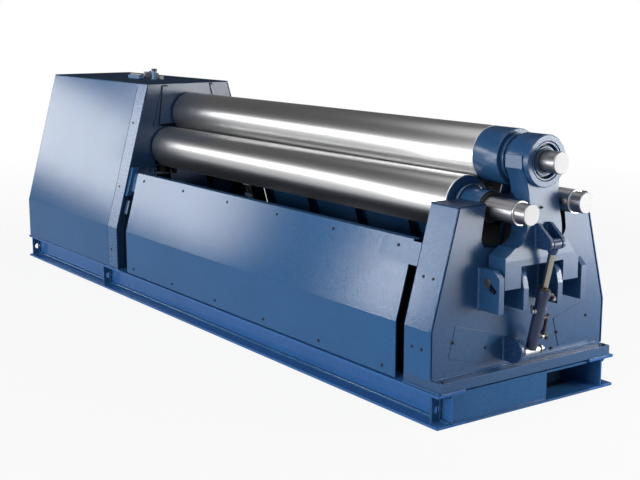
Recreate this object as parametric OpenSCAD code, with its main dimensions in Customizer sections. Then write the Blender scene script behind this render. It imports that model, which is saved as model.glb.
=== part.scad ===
// Plate rolling machine with three driven rolls and a hinged drop end.
// Millimetres, +Z up, +X along the rolls towards the drop end.
// The origin is on the floor under the middle of the base frame.

/* [Overall] */
// Length of the base frame
base_length = 5050; // [4600:10:6100]
// Width of the base frame
base_width = 1220; // [1100:10:1480]
// Height of the drive housing above the floor
housing_height = 1457; // [1380:1:1760]
// Length of the drive housing, end wall to roll side
drive_length = 1612; // [1400:1:1900]

/* [Rolls] */
// Diameter of the top roll
top_roll_d = 287; // [240:1:300]
// Diameter of both side rolls
side_roll_d = 284; // [240:1:300]
// Gap in each nip with the side rolls raised
nip_gap = 5.5; // [5.5:0.5:12]
// Angle of the front roll from straight below the top roll
front_roll_angle = 36.5; // [34:0.5:44]
// Angle of the rear roll from straight below the top roll
rear_roll_angle = 43.4; // [34:0.1:46]

/* [Housings] */
// Lean of the upper housing sides, run over rise
side_lean = 0.2745; // [0.15:0.0005:0.3]
// Height of the fold where the sides start to lean
fold_z = 461; // [300:1:520]
// Thickness of the housing sheets and panels
sheet = 6; // [4:0.5:8]
// Height of the top edge of the front and rear panels
panel_top_z = 858; // [700:1:870]

/* [Drop end] */
// Thickness of the arm between its two faces
arm_thick = 143; // [120:1:150]
// Radius of the arm's bearing boss
boss_r = 128; // [112:1:140]
// Thickness of each hinge lug
lug_thick = 34; // [24:1:36]
// Radius of the hinge pins
hinge_pin_r = 22; // [16:0.5:26]

/* [Hidden] */
$fn = 64;
fit = 0.3;

// Base frame: rolled beams with a foot plate under each housing.
beam_height = 170;
flange_width = 180;
flange_thick = 14;
web_thick = 10;
base_x0 = -base_length / 2;
base_x1 = base_length / 2;
rail_inner_y = base_width / 2 - flange_width;
web_inner_y = base_width / 2 - (flange_width + web_thick) / 2;
web_outer_y = web_inner_y + web_thick;
stiffener_edge_y = base_width / 2 - 24;
lifting_hole_r = 21;
stiffener_x = [base_x0 + 4, base_x0 + drive_length - 267, base_x1 - 82];
foot_top_z = 222;

// Housing cross section, shared by both ends and the panels.
half_width = base_width / 2 - 12;
lean_angle = atan(side_lean);
function half_at(z) = half_width - max(0, z - fold_z) * side_lean;

// Positions along the rolls.
drive_face_x = base_x0 + drive_length;
drive_frame_thick = 130;
drive_seam_x = drive_face_x - 138;
drop_face_x = base_x1 - 73;
drop_frame_x0 = drop_face_x - 190;
drop_frame_x1 = drop_face_x - 60;
drop_plate_x0 = drop_face_x - 40;
drop_strip_x0 = drop_face_x - 196;
barrel_x0 = drive_face_x + 18;
barrel_x1 = drop_strip_x0 - 41;

// Roll axes, with the side rolls raised.
roll_z = housing_height - 213;
top_r = top_roll_d / 2;
side_r = side_roll_d / 2;
centre_dist = top_r + side_r + nip_gap;
front_y = -centre_dist * sin(front_roll_angle);
front_z = roll_z - centre_dist * cos(front_roll_angle);
rear_y = centre_dist * sin(rear_roll_angle);
rear_z = roll_z - centre_dist * cos(rear_roll_angle);
slot_lean = 8.9;
slide_travel = 90;
drop_top_z = roll_z - 198;
drop_cap = 8;

// Bearing blocks of the side rolls in their slots.
drive_block_half = 90;
drop_block_half = 82;
guide_clear = 0.4;
slot_end_clear = 6;
window_half = 94;
window_depth = 192;
window_corner_r = 48;
side_journal_r = 62;
side_shaft_r = 57;
side_tip_r = 52;
journal_clear = 0.5;

// Drop end arm and its hinge.
hinge_x = drop_face_x + 61;
hinge_z = roll_z - 571;
arm_x1 = drop_face_x + 128;
arm_x0 = arm_x1 - arm_thick;
boss_x0 = arm_x0;
boss_x1 = arm_x1 + 4;
bore_r = 85;
back_bore_r = 100;
land_r = 81;
end_bearing_r = 75;
end_disc_r = 72;
top_shaft_r = 54;
shaft_step_x = drop_face_x - 14;
collar_x1 = drop_face_x - 64;
collar_neck_x1 = arm_x0 - 9;
neck_half = boss_r + 5;
neck_flat_z = roll_z - 33;
leg_y0 = 143;
leg_y1 = 251;
lug_inner_y0 = leg_y0 - 9 - lug_thick;
lug_outer_y0 = leg_y1 + 13;
lug_z0 = hinge_z - 142;
lug_z1 = hinge_z + 67;
lug_front_x = hinge_x + 78;
inner_lug_r = 66;
arm_taper = 31 / 464;
arm_taper_z = roll_z - 464;
function arm_face_x(z) = arm_x1 - max(0, z - arm_taper_z) * arm_taper;

// Cylinder that tilts the arm.
cyl_foot_x = drop_face_x + 66;
cyl_foot_z = 291;
clevis_x = drop_face_x + 198;
clevis_z = hinge_z + 180;
clevis_r = 28;
clevis_inner_y = 31;
clevis_outer_y = 49;
cyl_run = clevis_x - cyl_foot_x;
cyl_rise = clevis_z - cyl_foot_z;
cyl_angle = atan(cyl_run / cyl_rise);
cyl_length = sqrt(cyl_run * cyl_run + cyl_rise * cyl_rise);
barrel_r = 29;
rod_r = 18;
barrel_length = cyl_length - 242;
barrel_bore_z = 60;
retract_travel = 180;
foot_pin_r = 14;
foot_eye_r = 20;
foot_eye_half = 50;

blue = "#3e6494";
deep_blue = "#27466f";
steel = "#b9bcbe";
navy = "#1d2b42";

// Places a drawing of (Y, Z) and gives it a length along X.
module along_x(x0, x1) {
  translate([x0, 0, 0])
    rotate([90, 0, 90])
      linear_extrude(height = x1 - x0)
        children();
}

// Places a drawing of (X, Z) and gives it a length along Y.
module along_y(y0, y1) {
  translate([0, y1, 0])
    rotate([90, 0, 0])
      linear_extrude(height = y1 - y0)
        children();
}

// A turned piece about the X axis from [radius, x] points.
module turned(y, z, points) {
  translate([0, y, z])
    rotate([0, 90, 0])
      rotate_extrude($fn = 96)
        polygon(points);
}

// A round bar along X.
module bar_x(y, z, r, x0, x1) {
  translate([x0, y, z])
    rotate([0, 90, 0])
      cylinder(r = r, h = x1 - x0, $fn = 96);
}

// A round bar along Y.
module bar_y(x, z, r, y0, y1) {
  translate([x, y0, z])
    rotate([-90, 0, 0])
      cylinder(r = r, h = y1 - y0, $fn = 64);
}

module both_sides() {
  children();
  mirror([0, 1, 0]) children();
}

// Front half of the sheet section between two heights, as (Y, Z).
module sheet_section(z0, z1, inset = 0, t = sheet) {
  fold_drop = tan(lean_angle / 2);
  lean_t = t / cos(lean_angle);
  lean_inset = inset / cos(lean_angle);
  outer = half_width - inset;
  if (z0 < fold_z)
    polygon([
      [-outer, z0], [-outer, fold_z - inset * fold_drop],
      [-half_at(z1) + lean_inset, z1],
      [-half_at(z1) + lean_inset + lean_t, z1],
      [-outer + t, fold_z - (inset + t) * fold_drop], [-outer + t, z0]
    ]);
  else
    polygon([
      [-half_at(z0) + lean_inset, z0], [-half_at(z1) + lean_inset, z1],
      [-half_at(z1) + lean_inset + lean_t, z1], [-half_at(z0) + lean_inset + lean_t, z0]
    ]);
}

// Whole outline of a housing plate set in behind the sheets.
module plate_section(z0, z1, inset) {
  fold_drop = tan(lean_angle / 2);
  lean_inset = inset / cos(lean_angle);
  low = half_width - inset;
  top = half_at(z1) - lean_inset;
  knee = fold_z - inset * fold_drop;
  polygon([
    [-low, z0], [-low, knee], [-top, z1],
    [top, z1], [low, knee], [low, z0]
  ]);
}

// ---- Base frame ----

module base_rail() {
  y0 = -base_width / 2;
  translate([base_x0, y0, 0])
    cube([base_length, flange_width, flange_thick]);
  translate([base_x0, y0, beam_height - flange_thick])
    cube([base_length, flange_width, flange_thick]);
  translate([base_x0, -web_outer_y, flange_thick / 2])
    cube([base_length, web_thick, beam_height - flange_thick]);
}

module base_front_rail() {
  color(blue) base_rail();
}

module base_rear_rail() {
  color(blue) mirror([0, 1, 0]) base_rail();
}

// Channel that closes the base frame under the drive housing.
module base_drive_beam() {
  top = beam_height - 10;
  color(blue) {
    translate([base_x0 + 16, -web_inner_y, flange_thick])
      cube([12, 2 * web_inner_y, beam_height - 2 * flange_thick]);
    translate([base_x0 + 16, -rail_inner_y, 0])
      cube([120, 2 * rail_inner_y, 12]);
    translate([base_x0 + 16, -rail_inner_y, top - 12])
      cube([120, 2 * rail_inner_y, 12]);
    translate([base_x0 + 16, -rail_inner_y, 6])
      cube([12, 2 * rail_inner_y, top - 12]);
  }
}

// Channel under the drop end, open towards the rear rail.
module base_drop_beam() {
  top = beam_height - 10;
  web_x = base_x1 - 28;
  open_y = 133;
  color(blue) {
    translate([web_x - 108, -rail_inner_y, 0])
      cube([136, 2 * rail_inner_y, 12]);
    translate([web_x - 108, -rail_inner_y, top - 12])
      cube([120, 2 * rail_inner_y, 12]);
    translate([web_x, -rail_inner_y, 6])
      cube([12, rail_inner_y + open_y, top - 12]);
    translate([web_x, -web_inner_y, flange_thick])
      cube([12, web_inner_y - rail_inner_y + 1, beam_height - 2 * flange_thick]);
  }
}

// Ties between the rails under the inner faces of the housings.
module base_cross_members() {
  tie_x = [drive_face_x - 130, -65, 1100, drop_strip_x0];
  color(blue)
    for (x = tie_x) {
      translate([x, -rail_inner_y, 0])
        cube([130, 2 * rail_inner_y, 12]);
      translate([x + 60, -rail_inner_y, 6])
        cube([10, 2 * rail_inner_y, beam_height - 12]);
      translate([x, -rail_inner_y, beam_height - 12])
        cube([130, 2 * rail_inner_y, 12]);
    }
}

// Stiffeners in the outer channels of the rails, with lifting holes.
module base_lifting_plates() {
  hole_y = (web_outer_y + stiffener_edge_y) / 2 - 8;
  color(blue)
    both_sides()
      for (x = stiffener_x)
        along_x(x, x + 12)
          difference() {
            translate([-stiffener_edge_y, flange_thick])
              square([stiffener_edge_y - web_outer_y, beam_height - 2 * flange_thick]);
            translate([-hole_y, 74])
              circle(r = lifting_hole_r, $fn = 48);
          }
}

module drop_end_foot() {
  color(blue)
    translate([drop_strip_x0 - 14, -half_width + 10, beam_height])
      cube([base_x1 - 8 - drop_strip_x0 + 14, 2 * half_width - 20, foot_top_z - beam_height]);
}

// ---- Drive housing ----

// Guide slot of a side roll's bearing block, as (Y, Z). The top follows
// the round block where it is closed, or runs out of the plate.
module guide_slot(y, z, side, block_half, open_top) {
  half = block_half + guide_clear;
  depth = block_half + slide_travel + slot_end_clear;
  translate([y, z])
    rotate(side * slot_lean) {
      translate([-half, -depth])
        square([2 * half, depth + (open_top ? 420 : slot_end_clear)]);
      translate([0, slot_end_clear])
        circle(r = half, $fn = 96);
    }
}

// Seam of a guide cover in the wall, as (Y, Z): down along the side at a
// distance from it, with a short hook at the top.
module cover_seam(side, edge, z0, hook) {
  seam = 5;
  z1 = housing_height - 20;
  y0 = side * (half_at(z0) - edge);
  y1 = side * (half_at(z1) - edge);
  polygon([[y0, z0], [y1, z1], [y1 + seam, z1], [y0 + seam, z0]]);
  translate([min(y1, y1 + hook), z1 - seam])
    square([abs(hook) + seam, seam]);
}

module drive_frame() {
  x0 = drive_face_x - drive_frame_thick;
  seam_depth = 5;
  color(blue)
    difference() {
      along_x(x0, drive_face_x)
        difference() {
          plate_section(beam_height, housing_height - sheet - fit, sheet + fit);
          guide_slot(front_y, front_z, -1, drive_block_half, false);
          guide_slot(rear_y, rear_z, 1, drive_block_half, false);
        }
      bar_x(0, roll_z, bore_r + journal_clear, x0 - 1, drive_face_x + 1);
      along_x(drive_face_x - seam_depth, drive_face_x + 1) {
        cover_seam(-1, 114, roll_z - 90, 44);
        cover_seam(1, 158, roll_z - 90, 30);
      }
    }
}

module drive_front_cover() {
  color(blue)
    along_x(base_x0 + sheet + fit, drive_seam_x - 3)
      sheet_section(beam_height, housing_height - sheet - fit);
}

module drive_rear_cover() {
  color(blue)
    mirror([0, 1, 0])
      along_x(base_x0 + sheet + fit, drive_seam_x - 3)
        sheet_section(beam_height, housing_height - sheet - fit);
}

module drive_top_cover() {
  half = half_at(housing_height);
  color(navy)
    translate([base_x0, -half, housing_height - sheet])
      cube([drive_length + 2, 2 * half, sheet]);
}

module drive_end_wall() {
  color(blue)
    along_x(base_x0, base_x0 + sheet)
      plate_section(beam_height, housing_height - sheet - fit, 0);
}

module drive_strip() {
  along_x(drive_seam_x, drive_face_x)
    sheet_section(beam_height, housing_height - sheet - fit);
}

module drive_front_strip() {
  color(blue) drive_strip();
}

module drive_rear_strip() {
  color(blue) mirror([0, 1, 0]) drive_strip();
}

// Fittings that stand on the roof of the drive housing: a pin, a manifold
// bar, a valve box behind it and two plugs.
module drive_top_fittings() {
  pin_x = drive_face_x - 492;
  color(steel) {
    translate([pin_x, -15, housing_height])
      cylinder(r = 22, h = 8);
    translate([pin_x, -15, housing_height])
      cylinder(r = 17, h = 66);
    translate([pin_x, -15, housing_height + 60])
      cylinder(r = 20, h = 18);
    translate([pin_x - 295, -85, housing_height])
      cube([185, 40, 26]);
    translate([pin_x - 260, 40, housing_height])
      cube([115, 60, 38]);
    translate([pin_x + 5, 42, housing_height])
      cylinder(r = 16, h = 24);
    for (step = [0, 44])
      translate([pin_x - 500 + step, 170, housing_height])
        cylinder(r = 18, h = 32);
  }
}

// ---- Panels between the housings ----

panel_x0 = drive_face_x + 153;
panel_x1 = drop_strip_x0 - 66;
panel_bottom_z = beam_height + 6;
panel_tab_z = panel_top_z - 120;

module side_panel() {
  flange = 40;
  top_y = half_at(panel_top_z);
  along_x(panel_x0, panel_x1)
    sheet_section(panel_bottom_z, panel_top_z);
  along_x(panel_x1 - 1, drop_strip_x0 - 3)
    sheet_section(panel_tab_z, panel_top_z - 9);
  along_x(panel_x0 - 68, panel_x0)
    sheet_section(panel_tab_z - 10, panel_top_z - 9, 12);
  along_x(panel_x0 - 12, panel_x0)
    sheet_section(panel_tab_z - 10, panel_top_z - 9, sheet / 2, 12);
  translate([panel_x0, -top_y + sheet / 2, panel_top_z - sheet])
    cube([panel_x1 - panel_x0, flange, sheet]);
}

module front_panel() {
  color(blue) side_panel();
}

module rear_panel() {
  color(blue) mirror([0, 1, 0]) side_panel();
}

// Angle on the housing wall behind each panel's end.
module panel_brackets() {
  color(blue)
    both_sides() {
      along_x(drive_face_x, drive_face_x + 28)
        sheet_section(panel_top_z - 171, panel_top_z + 25, 14, 8);
      along_x(drive_face_x + 20, drive_face_x + 28)
        sheet_section(panel_top_z - 171, panel_top_z + 25, 14, 46);
    }
}

// Uprights on the rail that carry a panel along its screws.
module panel_posts() {
  post_x = [for (i = [0 : 5]) panel_x0 + 103 + i * (panel_x1 - panel_x0 - 206) / 5];
  post_depth = 46;
  for (x = post_x) {
    along_x(x - 20, x - 14)
      sheet_section(beam_height, panel_top_z - sheet - 2, sheet + fit, post_depth);
    along_x(x - 14.5, x + 20)
      sheet_section(beam_height, panel_top_z - sheet - 2, sheet + fit, 6);
  }
}

module front_panel_posts() {
  color(navy) panel_posts();
}

module rear_panel_posts() {
  color(navy) mirror([0, 1, 0]) panel_posts();
}

// ---- Drop end housing ----

module drop_frame() {
  color(blue)
    along_x(drop_frame_x0, drop_frame_x1)
      difference() {
        plate_section(foot_top_z, drop_top_z - drop_cap - fit, sheet + fit);
        guide_slot(front_y, front_z, -1, drop_block_half, true);
        guide_slot(rear_y, rear_z, 1, drop_block_half, true);
      }
}

// Window for a side roll's shaft, round at its corners, as (Y, Z).
module shaft_window(y, z, side) {
  corner_y = window_half - window_corner_r;
  translate([y, z])
    rotate(side * slot_lean) {
      translate([-window_half, window_corner_r - window_depth])
        square([2 * window_half, window_depth + 420]);
      translate([-corner_y, -window_depth])
        square([2 * corner_y, window_corner_r + 1]);
      for (s = [-1, 1])
        translate([s * corner_y, window_corner_r - window_depth])
          circle(r = window_corner_r);
    }
}

// The windows are alike on both sides, and the gap to the strips is wider
// on the rear side.
module drop_end_plate() {
  edge_gap = 8;
  edge_shift = 3;
  color(blue)
    along_x(drop_plate_x0, drop_face_x)
      difference() {
        translate([-edge_shift, 0])
          plate_section(foot_top_z, drop_top_z - drop_cap - fit, sheet + edge_gap);
        shaft_window(front_y, front_z, -1);
        shaft_window(-front_y, front_z, 1);
      }
}

module drop_strip() {
  along_x(drop_strip_x0, drop_face_x - 2)
    sheet_section(foot_top_z, drop_top_z - drop_cap - fit);
}

module drop_front_strip() {
  color(blue) drop_strip();
}

module drop_rear_strip() {
  color(blue) mirror([0, 1, 0]) drop_strip();
}

module drop_top_caps() {
  cap_y = half_at(drop_top_z) + 2;
  color(navy)
    along_x(drop_strip_x0 - 4, drop_face_x)
      difference() {
        polygon([
          [-cap_y - drop_cap * side_lean, drop_top_z - drop_cap], [-cap_y, drop_top_z],
          [cap_y, drop_top_z], [cap_y + drop_cap * side_lean, drop_top_z - drop_cap]
        ]);
        shaft_window(front_y, front_z, -1);
        shaft_window(rear_y, rear_z, 1);
      }
}

// Covers over the clamp screws, set square to the leaning sides.
module drop_hatch_covers() {
  color(blue)
    both_sides()
      along_x(drop_face_x, drop_face_x + 3)
        translate([354, 363])
          rotate(lean_angle)
            square([230, 160], center = true);
}

module outer_lug_section() {
  difference() {
    polygon([
      [drop_face_x, lug_z0], [lug_front_x, lug_z0], [lug_front_x, hinge_z + 30],
      [hinge_x + 40, lug_z1], [drop_face_x, lug_z1]
    ]);
    translate([hinge_x, hinge_z])
      circle(r = hinge_pin_r + fit);
  }
}

// Rounded at the top, so that the tilting arm passes over it.
module inner_lug_section() {
  difference() {
    union() {
      polygon([
        [drop_face_x, lug_z0], [lug_front_x, lug_z0], [lug_front_x, hinge_z - 36],
        [hinge_x + 62, hinge_z + 22], [hinge_x, hinge_z + inner_lug_r],
        [drop_face_x, hinge_z + inner_lug_r]
      ]);
      translate([hinge_x, hinge_z])
        circle(r = inner_lug_r);
    }
    translate([hinge_x, hinge_z])
      circle(r = hinge_pin_r + fit);
    translate([drop_face_x - inner_lug_r, hinge_z - inner_lug_r])
      square([inner_lug_r, 2 * inner_lug_r]);
  }
}

module hinge_lugs() {
  color(blue)
    both_sides() {
      along_y(lug_inner_y0, lug_inner_y0 + lug_thick) inner_lug_section();
      along_y(lug_outer_y0, lug_outer_y0 + lug_thick) outer_lug_section();
    }
}

module hinge_pins() {
  color(steel)
    both_sides()
      bar_y(hinge_x, hinge_z, hinge_pin_r, lug_inner_y0 - 6, lug_outer_y0 + lug_thick + 8);
}

// Round lug on the end plate and the pin that carries the cylinder.
module cylinder_foot() {
  lug_y0 = -122;
  lug_y1 = -100;
  lug_x = drop_face_x + 62;
  lug_z = cyl_foot_z + 17;
  lug_r = 62;
  color(deep_blue)
    along_y(lug_y0, lug_y1)
      difference() {
        union() {
          translate([drop_face_x, lug_z - lug_r])
            square([lug_x - drop_face_x, 2 * lug_r]);
          translate([lug_x, lug_z])
            circle(r = lug_r);
        }
        translate([cyl_foot_x, cyl_foot_z])
          circle(r = foot_pin_r);
        translate([drop_face_x - lug_r, lug_z - lug_r])
          square([lug_r, 2 * lug_r]);
      }
  color(steel)
    bar_y(cyl_foot_x, cyl_foot_z, foot_pin_r, lug_y0 - 6, 62);
}

// ---- Rolls ----

module top_roll() {
  color(steel)
    turned(0, roll_z, [
      [0, drive_face_x - 190], [bore_r - 4, drive_face_x - 190], [bore_r, drive_face_x - 186],
      [bore_r, barrel_x0], [top_r - 4, barrel_x0], [top_r, barrel_x0 + 4],
      [top_r, barrel_x1], [60, barrel_x1], [60, shaft_step_x],
      [top_shaft_r, shaft_step_x], [top_shaft_r, drop_face_x + 223],
      [top_shaft_r - 4, drop_face_x + 227], [0, drop_face_x + 227]
    ]);
}

// Guide collar with the stepped seal rings between it and the arm.
module top_roll_collar() {
  outer_r = top_r - 1;
  color(deep_blue)
    turned(0, roll_z, [
      [60, barrel_x1], [outer_r, barrel_x1], [outer_r, collar_x1 - 3],
      [outer_r - 3, collar_x1], [116, collar_x1], [116, collar_x1 + 16],
      [104, collar_x1 + 16], [104, collar_neck_x1], [60, collar_neck_x1]
    ]);
}

module top_roll_end_bearing() {
  x0 = drop_face_x + 40;
  color(steel)
    turned(0, roll_z, [
      [top_shaft_r, x0], [end_bearing_r, x0], [end_bearing_r, x0 + 56],
      [end_disc_r, x0 + 56], [end_disc_r, x0 + 82], [64, x0 + 82],
      [64, x0 + 87], [top_shaft_r, x0 + 87]
    ]);
}

// Bearing block section with a round top, as (Y, Z) about the roll axis.
module block_section(side, block_half) {
  rotate(side * slot_lean)
    difference() {
      union() {
        circle(r = block_half, $fn = 96);
        translate([-block_half, -block_half])
          square([2 * block_half, block_half]);
      }
      circle(r = side_journal_r + journal_clear, $fn = 96);
    }
}

module roll_blocks(y, z, side) {
  along_x(drive_face_x - drive_frame_thick + 4, drive_face_x - 4)
    translate([y, z]) block_section(side, drive_block_half);
  along_x(drop_frame_x0 - 4, drop_frame_x1 - 4)
    translate([y, z]) block_section(side, drop_block_half);
}

module front_roll_blocks() {
  color(deep_blue) roll_blocks(front_y, front_z, -1);
}

module rear_roll_blocks() {
  color(deep_blue) roll_blocks(rear_y, rear_z, 1);
}

module side_roll(y, z) {
  turned(y, z, [
    [0, drive_face_x - 150], [side_journal_r - 3, drive_face_x - 150],
    [side_journal_r, drive_face_x - 147], [side_journal_r, barrel_x0],
    [side_r - 4, barrel_x0], [side_r, barrel_x0 + 4],
    [side_r, barrel_x1 - 3], [side_r - 3, barrel_x1], [side_journal_r, barrel_x1],
    [side_journal_r, drop_frame_x1 - 14], [side_shaft_r, drop_frame_x1 - 14],
    [side_shaft_r, drop_face_x + 146], [side_tip_r, drop_face_x + 146],
    [side_tip_r, drop_face_x + 210], [side_tip_r - 3, drop_face_x + 213],
    [0, drop_face_x + 213]
  ]);
}

module front_side_roll() {
  color(steel) side_roll(front_y, front_z);
}

module rear_side_roll() {
  color(steel) side_roll(rear_y, rear_z);
}

// ---- Drop end arm ----

// Pocket in the arm round the travel of a side roll's shaft, and the flare
// from its inner edge out to the width of the boss, as (Y, Z).
module arm_pocket(y, z, side) {
  half = side_shaft_r + 25;
  waist = min(abs(y) - half - 5, neck_half - 16);
  waist_z = z + 45;
  flare = neck_half - waist;
  flare_rise = neck_flat_z - waist_z;
  // Largest radius that leaves the least wall between the flare and the bore of the boss.
  reach = boss_r + fit + 3;
  bore_drop = roll_z - waist_z;
  wall_r = (waist * waist + bore_drop * bore_drop - reach * reach) / (2 * (reach - waist));
  flare_r = min((flare_rise * flare_rise + flare * flare) / (2 * flare), wall_r);
  translate([y, z])
    rotate(side * slot_lean) {
      translate([-half, -slide_travel])
        square([2 * half, slide_travel + 20]);
      translate([0, -slide_travel])
        circle(r = half);
    }
  translate([side * (waist + flare_r), waist_z])
    circle(r = flare_r, $fn = 128);
}

// Outline of the arm: neck, waist past the side shafts, shoulders and legs.
module arm_section() {
  neck_top_z = roll_z + 31;
  leg_bottom_z = hinge_z - 32;
  difference() {
    polygon([
      [-leg_y1, leg_bottom_z], [-leg_y1, hinge_z + 122], [-238, hinge_z + 144],
      [-186, hinge_z + 167], [-neck_half, hinge_z + 195], [-neck_half, neck_top_z],
      [neck_half, neck_top_z], [neck_half, hinge_z + 195], [186, hinge_z + 167],
      [238, hinge_z + 144], [leg_y1, hinge_z + 122], [leg_y1, leg_bottom_z]
    ]);
    arm_pocket(front_y, front_z, -1);
    arm_pocket(rear_y, rear_z, 1);
    translate([-leg_y0, leg_bottom_z - 1])
      square([2 * leg_y0, 106]);
  }
}

module drop_arm() {
  low_back_x = drop_face_x + 13;
  heel_r = 48;
  top = roll_z + 60;
  color(blue)
    difference() {
      along_x(arm_x0, arm_x1) arm_section();
      along_y(-300, 300)
        polygon([
          [arm_x0 - 1, 0], [low_back_x, 0], [low_back_x, drop_top_z + 14],
          [arm_x0 - 1, drop_top_z + 44]
        ]);
      along_y(-300, 300)
        polygon([
          [arm_x1, arm_taper_z], [arm_x1 + 1, arm_taper_z], [arm_x1 + 1, top],
          [arm_face_x(top), top]
        ]);
      bar_x(0, roll_z, boss_r + fit, arm_x0 - 1, boss_x1);
      bar_y(hinge_x, hinge_z, hinge_pin_r + 1, -300, 300);
      along_y(-300, 300)
        difference() {
          translate([hinge_x - 60, hinge_z - 60])
            square([60, 60]);
          translate([hinge_x, hinge_z])
            circle(r = heel_r);
        }
    }
}

// Ring welded into the neck, turned out round the end of the top roll.
module arm_boss() {
  land_x0 = drop_face_x + 36;
  land_x1 = drop_face_x + 100;
  groove_r = 98;
  groove = 4;
  color(blue)
    turned(0, roll_z, [
      [back_bore_r, boss_x0], [boss_r - 3, boss_x0], [boss_r, boss_x0 + 3],
      [boss_r, boss_x1 - 3], [boss_r - 3, boss_x1], [groove_r, boss_x1],
      [groove_r, boss_x1 - 12], [groove_r - groove, boss_x1 - 12],
      [groove_r - groove, boss_x1 - 2], [bore_r, boss_x1 - 2], [bore_r, land_x1],
      [land_r, land_x1], [land_r, land_x0], [back_bore_r, land_x0]
    ]);
}

// Two cheeks on the arm that hold the rod end.
module arm_clevis() {
  low_z = clevis_z - clevis_r;
  high_z = clevis_z + 92;
  color(deep_blue)
    both_sides()
      along_y(clevis_inner_y, clevis_outer_y)
        difference() {
          union() {
            polygon([
              [arm_face_x(low_z), low_z], [clevis_x, low_z],
              [clevis_x + 26, clevis_z + 10], [clevis_x + 18, clevis_z + 30],
              [arm_x1 + 10, high_z], [arm_face_x(high_z), high_z]
            ]);
            translate([clevis_x, clevis_z])
              circle(r = clevis_r);
          }
          translate([clevis_x, clevis_z])
            circle(r = 14 + fit);
        }
}

// Pin ends in the cheeks; the rod end turns between them.
module arm_clevis_pin() {
  color(steel)
    both_sides()
      bar_y(clevis_x, clevis_z, 14, clevis_inner_y, clevis_outer_y + 6);
}

// ---- Cylinder, drawn upright about its foot pin and then leaned ----

module leaned() {
  translate([cyl_foot_x, 0, cyl_foot_z])
    rotate([0, cyl_angle, 0])
      children();
}

module cylinder_barrel() {
  color(deep_blue)
    leaned()
      difference() {
        union() {
          rotate([90, 0, 0])
            cylinder(r = foot_eye_r, h = 2 * foot_eye_half, center = true);
          translate([0, 0, 12])
            cylinder(r = barrel_r, h = barrel_length - 12);
          translate([0, 0, barrel_length - 42])
            cylinder(r = barrel_r + 6, h = 42);
        }
        rotate([90, 0, 0])
          cylinder(r = foot_pin_r + 0.5, h = 2 * foot_eye_half + 2, center = true);
        translate([0, 0, barrel_bore_z])
          cylinder(r = rod_r + 0.5, h = barrel_length);
      }
}

module cylinder_rod() {
  rod_bottom = barrel_bore_z + retract_travel + 8;
  color(steel)
    leaned() {
      translate([0, 0, rod_bottom])
        cylinder(r = rod_r, h = cyl_length - rod_bottom - 10);
      translate([0, 0, cyl_length])
        rotate([90, 0, 0])
          cylinder(r = clevis_r, h = 50, center = true);
    }
}

base_front_rail();
base_rear_rail();
base_drive_beam();
base_drop_beam();
base_cross_members();
base_lifting_plates();
drop_end_foot();
drive_frame();
drive_front_cover();
drive_rear_cover();
drive_top_cover();
drive_end_wall();
drive_front_strip();
drive_rear_strip();
drive_top_fittings();
front_panel();
rear_panel();
panel_brackets();
front_panel_posts();
rear_panel_posts();
drop_frame();
drop_end_plate();
drop_front_strip();
drop_rear_strip();
drop_top_caps();
drop_hatch_covers();
hinge_lugs();
hinge_pins();
cylinder_foot();
top_roll();
top_roll_collar();
top_roll_end_bearing();
front_roll_blocks();
front_side_roll();
rear_roll_blocks();
rear_side_roll();
drop_arm();
arm_boss();
arm_clevis();
arm_clevis_pin();
cylinder_barrel();
cylinder_rod();
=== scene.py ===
import bpy, bmesh, math
from mathutils import Matrix, Vector


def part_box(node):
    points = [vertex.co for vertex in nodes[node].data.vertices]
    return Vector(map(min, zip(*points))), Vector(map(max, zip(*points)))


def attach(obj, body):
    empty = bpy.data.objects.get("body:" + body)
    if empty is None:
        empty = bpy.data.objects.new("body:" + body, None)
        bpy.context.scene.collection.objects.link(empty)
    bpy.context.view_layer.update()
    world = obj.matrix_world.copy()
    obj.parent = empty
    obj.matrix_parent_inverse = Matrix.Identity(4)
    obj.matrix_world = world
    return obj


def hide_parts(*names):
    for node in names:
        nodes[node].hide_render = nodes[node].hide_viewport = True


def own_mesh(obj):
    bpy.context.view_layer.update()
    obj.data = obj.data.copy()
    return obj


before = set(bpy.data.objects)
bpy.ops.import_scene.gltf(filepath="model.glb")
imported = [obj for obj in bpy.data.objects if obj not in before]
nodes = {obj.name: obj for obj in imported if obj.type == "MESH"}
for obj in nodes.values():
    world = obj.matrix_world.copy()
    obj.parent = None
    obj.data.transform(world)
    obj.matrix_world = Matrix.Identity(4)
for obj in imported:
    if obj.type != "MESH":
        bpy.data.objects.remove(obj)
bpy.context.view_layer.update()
scene = bpy.context.scene


# ---- Camera ----
# Stands at the drop end on the operator's side, a little above the rolls.
eye = Vector((6.5058, -4.1093, 1.9336))
looking = Vector((-0.8012, 0.5679, -0.1889))
camera = bpy.data.objects.new("camera", bpy.data.cameras.new("camera"))
scene.collection.objects.link(camera)
camera.location = eye
camera.rotation_euler = looking.to_track_quat("-Z", "Y").to_euler()
camera.data.lens = 66.05
camera.data.sensor_width = 36
scene.camera = camera


# ---- Studio ----
# A pale floor under a white surround, soft boxes on the operator's side and a
# dark card past the drive end, which the polished rolls need for their contrast.
def linear(colour):
    """sRGB hex to the linear numbers of a shader socket."""
    parts = [int(colour[i:i + 2], 16) / 255 for i in (1, 3, 5)]
    return tuple(c / 12.92 if c <= 0.04045 else ((c + 0.055) / 1.055) ** 2.4 for c in parts) + (1,)


def add(tree, kind, inputs=None, **settings):
    """One shader node: its settings, then its inputs as numbers or as sockets to link."""
    node = tree.nodes.new("ShaderNode" + kind)
    for name, value in settings.items():
        setattr(node, name, value)
    for name, value in (inputs or {}).items():
        if isinstance(value, bpy.types.NodeSocket):
            tree.links.new(value, node.inputs[name])
        else:
            node.inputs[name].default_value = value
    return node


def new_tree(holder):
    holder.use_nodes = True
    holder.node_tree.nodes.clear()
    return holder.node_tree


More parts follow.
